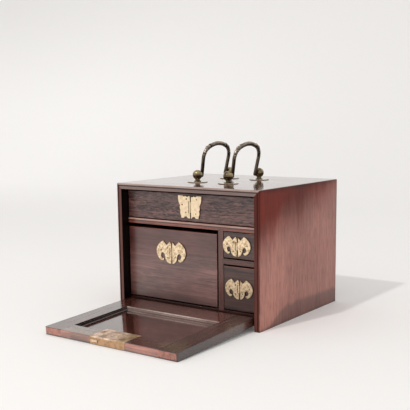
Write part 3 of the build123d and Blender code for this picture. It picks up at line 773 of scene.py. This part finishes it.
def tube_faces(rings, sides):
    """The faces of a closed tube whose corners run ring by ring."""
    faces = []
    for ring in range(rings - 1):
        for side in range(sides):
            first = ring * sides + side
            second = ring * sides + (side + 1) % sides
            faces.append((first, second, second + sides, first + sides))
    faces.append(tuple(reversed(range(sides))))
    faces.append(tuple(range((rings - 1) * sides, rings * sides)))
    return faces


def twist(name, x, body, material):
    """A fine raised twist round the grip of one bail, which moves with it."""
    points = arch_points()
    lengths = lengths_along(points)
    begin, end = (share * lengths[-1] for share in TWIST_SPAN)
    count = int((end - begin) / TWIST_PITCH * TWIST_STEPS)
    upward = Vector((math.sin(ARCH_LEAN), 0, math.cos(ARCH_LEAN)))
    sideways = Vector((math.cos(ARCH_LEAN), 0, -math.sin(ARCH_LEAN)))
    pivot = Vector((x, (case_low[Y_AXIS] + case_high[Y_AXIS]) / 2, case_high[Z_AXIS] + PIVOT_RISE))
    corners = []
    for i in range(count + 1):
        (across, above), (run, rise) = along_arch(points, lengths, begin + (end - begin) * i / count)
        middle = pivot + Vector((0, across, 0)) + upward * above
        tangent = Vector((0, run, 0)) + upward * rise
        turn = 2 * math.pi * i / TWIST_STEPS
        outward = sideways.cross(tangent) * math.cos(turn) + sideways * math.sin(turn)
        for side in range(TWIST_SIDES):
            angle = 2 * math.pi * side / TWIST_SIDES
            reach = WIRE_RADIUS + TWIST_RADIUS * math.cos(angle)
            corners.append(middle + outward * reach + tangent * TWIST_RADIUS * math.sin(angle))
    made = smooth_mesh(name, corners, tube_faces(count + 1, TWIST_SIDES), material)
    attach(made, body)


def dress(node_name, material, bevel=0.0):
    """Gives a CAD node its material, and eased edges where it is a board."""
    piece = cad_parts[node_name]
    piece.data.materials.clear()
    piece.data.materials.append(material)
    if bevel:
        made = piece.modifiers.new("eased edges", "BEVEL")
        made.width = bevel
        made.segments = BEVEL_SEGMENTS
        made.limit_method = "ANGLE"
        made.angle_limit = BEVEL_ANGLE


# Case
side_look = dict(gloss=0.30, coat=0.0, ior=1.26, figure=0.3, mottle=0.25, rubbed=0.9, arris_tone=DARK_ARRIS,
                 grime=1.0, grime_reach=SIDE_GRIME_REACH,
                 quirk=(X_AXIS, case_high[X_AXIS], case_low[Y_AXIS]))
left_side_wood = wood("left side wood", PLAIN_TONES, Z_AXIS, dark_face=RIGHT_FACE, front_tone=LEFT_EDGE,
                      **side_look)
right_side_wood = wood("right side wood", CASE_TONES, Z_AXIS, dark_face=LEFT_FACE, front_tone=RIGHT_EDGE,
                       old_finish=True, **{**side_look, "coat": 0.55})
top_wood = wood("top wood", TOP_TONES, X_AXIS, gloss=0.08, coat=0.7, rubbed=0.8, arris_tone=DARK_ARRIS,
                dark_face=LOWER_FACE, front_tone=TOP_EDGE, bead_tone=BEAD_HIGHLIGHT,
                quirk=(Z_AXIS, case_high[Z_AXIS], case_low[Y_AXIS]))
back_wood = wood("back wood", PLAIN_TONES, X_AXIS, gloss=0.35, coat=0.2)
rail_wood = wood("rail wood", RAIL_TONES, X_AXIS, rubbed=0.8, bead_tone=RAIL_BEAD_HIGHLIGHT,
                 quirk=(Z_AXIS, rail_high[Z_AXIS], rail_low[Y_AXIS]))
bottom_wood = wood("bottom wood", BOTTOM_TONES, X_AXIS, rubbed=0.1)
shelf_wood = wood("shelf wood", SHELF_TONES, X_AXIS, rubbed=0.7)
divider_wood = wood("divider wood", SHELF_TONES, Z_AXIS, rubbed=0.7)
dress("case_left_side", left_side_wood)
dress("case_right_side", right_side_wood)
dress("case_top", top_wood)
dress("case_back", back_wood, BOARD_BEVEL)
dress("case_bottom", bottom_wood, SHELF_BEVEL)
dress("drawer_rail", rail_wood, SHELF_BEVEL)
dress("small_drawer_shelf", shelf_wood, SHELF_BEVEL)
dress("drawer_divider", divider_wood, SHELF_BEVEL)

# Fall front
door_look = dict(gloss=0.15, coat=1.0, ior=1.6, rubbed=0.4, worn_face=FRONT_FACE, foot_line=True)
left_stile_wood = wood("front left stile wood", DOOR_TONES, Y_AXIS, dark_face=RIGHT_FACE, **door_look)
# Painted dimmer reflection towards the free end of the right stile
stile_reflection_fade = (Y_AXIS, *(case_low[Y_AXIS] - distance for distance in STILE_REFLECTION_FADE))
right_stile_wood = wood("front right stile wood", RIGHT_STILE_TONES, Y_AXIS, fades=(stile_reflection_fade,),
                        **{**door_look, "gloss": 0.22, "coat": 0.7, "rubbed": 0.1})
# Painted reflection on the free rail: dimmer from the left end of the lock to its right end, and only on its
# inner face
free_rail_painted_fades = (
    (X_AXIS, lock_left, lock_right),
    (X_AXIS, lock_right, case_high[X_AXIS]),
    (Z_AXIS, *OUTER_FADE),
)
# Left of the lock, the free edge stays dark as a painted reflection
free_rail_wood = wood("front free rail wood", FREE_RAIL_TONES, X_AXIS, fades=free_rail_painted_fades,
                      kept=(X_AXIS, lock_left - EDGE_REFLECTION_LENGTH, lock_left),
                      **{**door_look, "gloss": 0.20, "ior": 1.72})
# The foot rail's arrises take a painted highlight
foot_rail_wood = wood("front foot rail wood", FOOT_RAIL_TONES, X_AXIS, arris_tone=ARRIS_HIGHLIGHT, **door_look)
panel_wood = wood("front panel wood", DOOR_TONES, X_AXIS, gloss=0.05, coat=1.0, ior=1.75, soft=0.11,
                  grime=0.2, knocked_face=UPPER_FACE, polished_face=UPPER_FACE)
# The panel beads take a painted highlight on their arrises and front faces, and painted shade on their right
# faces
bead_wood = wood("front bead wood", DOOR_TONES, X_AXIS, gloss=0.12, coat=1.0, rubbed=0.0, grime=0.0,
                 worn_face=FRONT_FACE, arris_tone=BEAD_HIGHLIGHT, dark_face=RIGHT_FACE, dark_facing=BEAD_FACING)
dress("door_left_stile", left_stile_wood)
dress("door_right_stile", right_stile_wood)
dress("door_top_rail", free_rail_wood)
dress("door_bottom_rail", foot_rail_wood)
dress("door_panel", panel_wood)
dress("door_panel_beads", bead_wood)

# Drawers and their pulls
top_front_wood = wood("top drawer front wood", TOP_FRONT_TONES, X_AXIS, gloss=0.36, coat=1.0, ior=1.6,
                      figure=0.65, figure_turns=(64.0, 300.0), curl=2.2, soft=0.11, mottle=0.5, broken=0.75)
# The left drawer's front darkens with painted shadow at its head and a painted dark reflection at its foot
left_front_wood = wood("left drawer front wood", LEFT_FRONT_TONES, X_AXIS, gloss=0.28, coat=0.85, ior=1.6,
                       figure=0.5, soft=0.09, fades=((Z_AXIS, *HEAD_SHADOW_FADE), (Z_AXIS, *FOOT_REFLECTION_FADE)), broken=0.12)
small_front_wood = wood("small drawer front wood", SMALL_FRONT_TONES, X_AXIS, gloss=0.28, coat=0.9, soft=0.1,
                        broken=0.25)
inner_wood = wood("drawer inside wood", INNER_TONES, Y_AXIS, gloss=0.45, coat=0.1, rubbed=0.2)
# The pulls' side faces take BRASS_EDGE as painted shade
butterfly_brass = metal("butterfly brass", BRASS, BRASS_WORN, roughness=0.32, patch_scale=260.0,
                        edge=BRASS_EDGE, face=FRONT_FACE)
bat_brass = metal("bat brass", BRASS, BAT_WORN, roughness=0.32, patch_scale=340.0, edge=BRASS_EDGE,
                  face=FRONT_FACE)
nail_brass = metal("nail brass", NAIL_BRASS, BRASS_EDGE, roughness=0.42, patch_scale=900.0)
drawer_looks = {
    "top_drawer": (top_front_wood, butterfly_brass),
    "left_drawer": (left_front_wood, bat_brass),
    "upper_drawer": (small_front_wood, bat_brass),
    "lower_drawer": (small_front_wood, bat_brass),
}
for drawer, (front_wood, pull_brass) in drawer_looks.items():
    dress(f"{drawer}_front", front_wood)
    for board in ("left_side", "right_side", "back", "bottom"):
        dress(f"{drawer}_{board}", inner_wood, BOARD_BEVEL)
    for piece in ("plate", "wing", "pin"):
        dress(f"{drawer}_pull_{piece}", pull_brass)
    dress(f"{drawer}_pull_nails", nail_brass)

# Lock
lock_dim_reflection = [lock_left + share * (lock_right - lock_left) for share in LOCK_DIM_REFLECTION]
lock_brass = metal("lock brass", LOCK_BRASS, LOCK_WORN, roughness=0.5, patch_scale=150.0, edge=LOCK_EDGE,
                   face=UPPER_FACE, stain=lock_dim_reflection)
bolt_brass = metal("bolt brass", BOLT_BRASS, LOCK_EDGE, roughness=0.3, patch_scale=500.0)
for piece in ("lock_plate", "lock_case", "lock_nails"):
    dress(piece, lock_brass)
dress("lock_bolt", bolt_brass)

# Handles, and the pins of the lock and the front
# Posts, bails and twists are darker where they look down: painted shade, with tarnish
post_bronze = metal("post bronze", POST_BRONZE, POST_DARK, roughness=0.13, patch_scale=120.0, underside_shade_and_patina=True)
bail_bronze = metal("bail bronze", BRONZE, BRONZE_DARK, roughness=0.24, patch_scale=160.0, underside_shade_and_patina=True)
# The twist is painted pale, as highlights on its ribs
twist_highlight_bronze = metal("twist highlight bronze", TWIST_HIGHLIGHT, TWIST_HIGHLIGHT_DULL, roughness=0.26, patch_scale=400.0, underside_shade_and_patina=True)
# The handle plates' rims take BRONZE_DARK as painted shade
plate_bronze = metal("plate bronze", PLATE_BRONZE, PLATE_WORN, roughness=0.14, patch_scale=160.0,
                     edge=BRONZE_DARK, face=UPPER_FACE)
for piece in ("lock_key_pin", "door_pins", "handle_posts"):
    dress(piece, post_bronze)
dress("handle_plates", plate_bronze)
for bail, x in (("left_bail", -BAIL_SPACING / 2), ("right_bail", BAIL_SPACING / 2)):
    dress(bail, bail_bronze)
    twist(f"{bail}_twist", x, bail, twist_highlight_bronze)

# Table and backdrop
profile = [(TABLE_FRONT, 0.0)]
for step in range(BACKDROP_STEPS + 1):
    turn = math.pi / 2 * step / BACKDROP_STEPS
    depth = BACKDROP_START + BACKDROP_RADIUS * math.sin(turn)
    profile.append((depth, BACKDROP_RADIUS * (1 - math.cos(turn))))
profile.append((BACKDROP_START + BACKDROP_RADIUS, BACKDROP_HEIGHT))
points = [(x, y, z) for y, z in profile for x in (-TABLE_HALF_WIDTH, TABLE_HALF_WIDTH)]
faces = [(2 * i, 2 * i + 1, 2 * i + 3, 2 * i + 2) for i in range(len(profile) - 1)]
table = smooth_mesh("table", points, faces, pale_floor("table"))

# Light
world = bpy.data.worlds.new("studio")
bpy.context.scene.world = world
world.use_nodes = True
world.node_tree.nodes["Background"].inputs["Color"].default_value = (*WORLD_COLOUR, 1.0)
world.node_tree.nodes["Background"].inputs["Strength"].default_value = WORLD_STRENGTH
key_light = bpy.data.lights.new("key light", "AREA")
key_light.shape = "DISK"
key_light.size = KEY_SIZE
key_light.energy = KEY_POWER
key_light.color = KEY_COLOUR
key = bpy.data.objects.new("key light", key_light)
key.location = KEY_PLACE
key.rotation_euler = (-Vector(KEY_PLACE)).to_track_quat("-Z", "Y").to_euler()
bpy.context.collection.objects.link(key)

# Camera
azimuth, elevation, roll = (math.radians(angle) for angle in (CAMERA_AZIMUTH, CAMERA_ELEVATION, CAMERA_ROLL))
forward = Vector((-math.sin(azimuth) * math.cos(elevation), math.cos(azimuth) * math.cos(elevation),
                  -math.sin(elevation)))
level = Vector((math.cos(azimuth), math.sin(azimuth), 0.0))
upward = level.cross(forward)
right = level * math.cos(roll) + upward * math.sin(roll)
above = upward * math.cos(roll) - level * math.sin(roll)
case_front = Vector((0.0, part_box("case_left_side")[0][Y_AXIS], 0.0))
lens = bpy.data.cameras.new("camera")
lens.lens = CAMERA_LENS_MM
lens.sensor_width = CAMERA_SENSOR_MM
lens.shift_x, lens.shift_y = CAMERA_SHIFT
camera = bpy.data.objects.new("camera", lens)
camera.matrix_world = Matrix.Translation(case_front + Vector(CAMERA_OFFSET)) @ Matrix(
    (right, above, -forward)).transposed().to_4x4()
bpy.context.collection.objects.link(camera)
bpy.context.scene.camera = camera
bpy.context.scene.view_settings.view_transform = "Standard"
